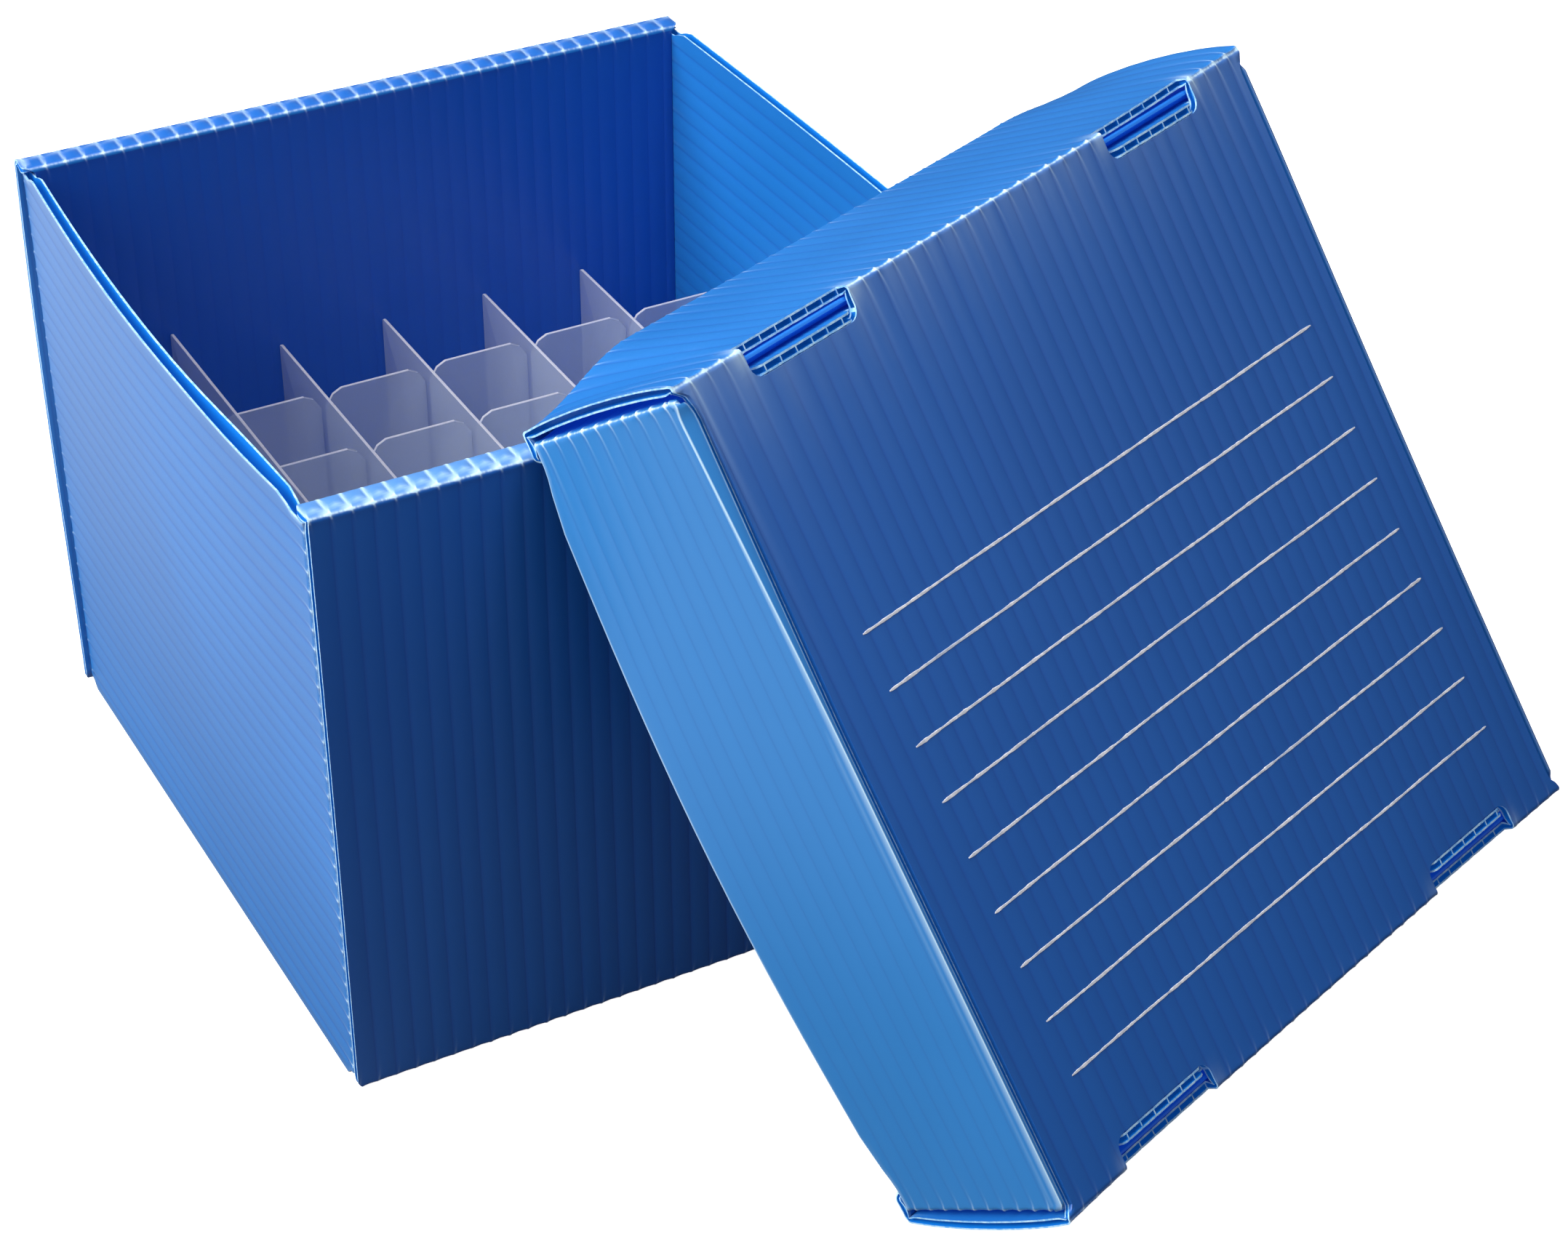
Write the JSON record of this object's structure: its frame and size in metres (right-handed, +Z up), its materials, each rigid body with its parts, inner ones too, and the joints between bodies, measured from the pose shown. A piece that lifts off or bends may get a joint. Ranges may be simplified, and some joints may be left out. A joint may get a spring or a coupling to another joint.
{
  "type": "cryogenic storage box",
  "caption": "Square fluted-plastic freezer box for sample tubes, with roll-over walls, a lift-off lid leaning against it and an egg-crate divider.",
  "frame": {"origin": "centre of the base's underside, on the table", "axes": "+Z up; +X along the base's front wall, to the right seen from the front; -Y is the base's front, where the lid leans"},
  "size_m": [0.2249, 0.2582, 0.1554],
  "materials": {
    "blue_fluted_sheet": "satin translucent polypropylene, stress-whitened at the folds",
    "frosted_strip": "frosted natural polypropylene"
  },
  "bodies": {
    "base": {"base_back_inner_panel": "blue_fluted_sheet", "base_back_left_corner_flap": "blue_fluted_sheet", "base_back_outer_panel": "blue_fluted_sheet", "base_back_right_corner_flap": "blue_fluted_sheet", "base_back_rim_strip": "blue_fluted_sheet", "base_floor": "blue_fluted_sheet", "base_front_inner_panel": "blue_fluted_sheet", "base_front_left_corner_flap": "blue_fluted_sheet", "base_front_outer_panel": "blue_fluted_sheet", "base_front_right_corner_flap": "blue_fluted_sheet", "base_front_rim_strip": "blue_fluted_sheet", "base_left_side_panel": "blue_fluted_sheet", "base_right_side_panel": "blue_fluted_sheet"},
    "lid": {"lid_left_side_panel": "blue_fluted_sheet", "lid_lower_inner_panel": "blue_fluted_sheet", "lid_lower_left_corner_flap": "blue_fluted_sheet", "lid_lower_outer_panel": "blue_fluted_sheet", "lid_lower_right_corner_flap": "blue_fluted_sheet", "lid_lower_rim_strip": "blue_fluted_sheet", "lid_right_side_panel": "blue_fluted_sheet", "lid_top_panel": "blue_fluted_sheet", "lid_upper_inner_panel": "blue_fluted_sheet", "lid_upper_left_corner_flap": "blue_fluted_sheet", "lid_upper_outer_panel": "blue_fluted_sheet", "lid_upper_right_corner_flap": "blue_fluted_sheet", "lid_upper_rim_strip": "blue_fluted_sheet"},
    "divider": {"divider_cross_strip_1": "frosted_strip", "divider_cross_strip_2": "frosted_strip", "divider_cross_strip_3": "frosted_strip", "divider_cross_strip_4": "frosted_strip", "divider_cross_strip_5": "frosted_strip"},
    "strip_1": {"divider_long_strip_1": "frosted_strip"},
    "strip_2": {"divider_long_strip_2": "frosted_strip"},
    "strip_3": {"divider_long_strip_3": "frosted_strip"},
    "strip_4": {"divider_long_strip_4": "frosted_strip"},
    "strip_5": {"divider_long_strip_5": "frosted_strip"}
  },
  "joints": [
    {"name": "lid_lift", "type": "slide", "parent": "base", "child": "lid", "axis": [0.2686, -0.7922, 0.548], "range_m": [0, 0.16]},
    {"name": "divider_lift", "type": "slide", "parent": "base", "child": "divider", "axis": [0, 0, 1], "range_m": [0, 0.046]},
    {"name": "strip_1_lift", "type": "slide", "parent": "divider", "child": "strip_1", "axis": [0, 0, 1], "range_m": [-0.0086, 0.125]},
    {"name": "strip_2_lift", "type": "slide", "parent": "divider", "child": "strip_2", "axis": [0, 0, 1], "range_m": [0, 0.125]},
    {"name": "strip_3_lift", "type": "slide", "parent": "divider", "child": "strip_3", "axis": [0, 0, 1], "range_m": [0, 0.046]},
    {"name": "strip_4_lift", "type": "slide", "parent": "divider", "child": "strip_4", "axis": [0, 0, 1], "range_m": [0, 0.046]},
    {"name": "strip_5_lift", "type": "slide", "parent": "divider", "child": "strip_5", "axis": [0, 0, 1], "range_m": [0, 0.046]}
  ]
}
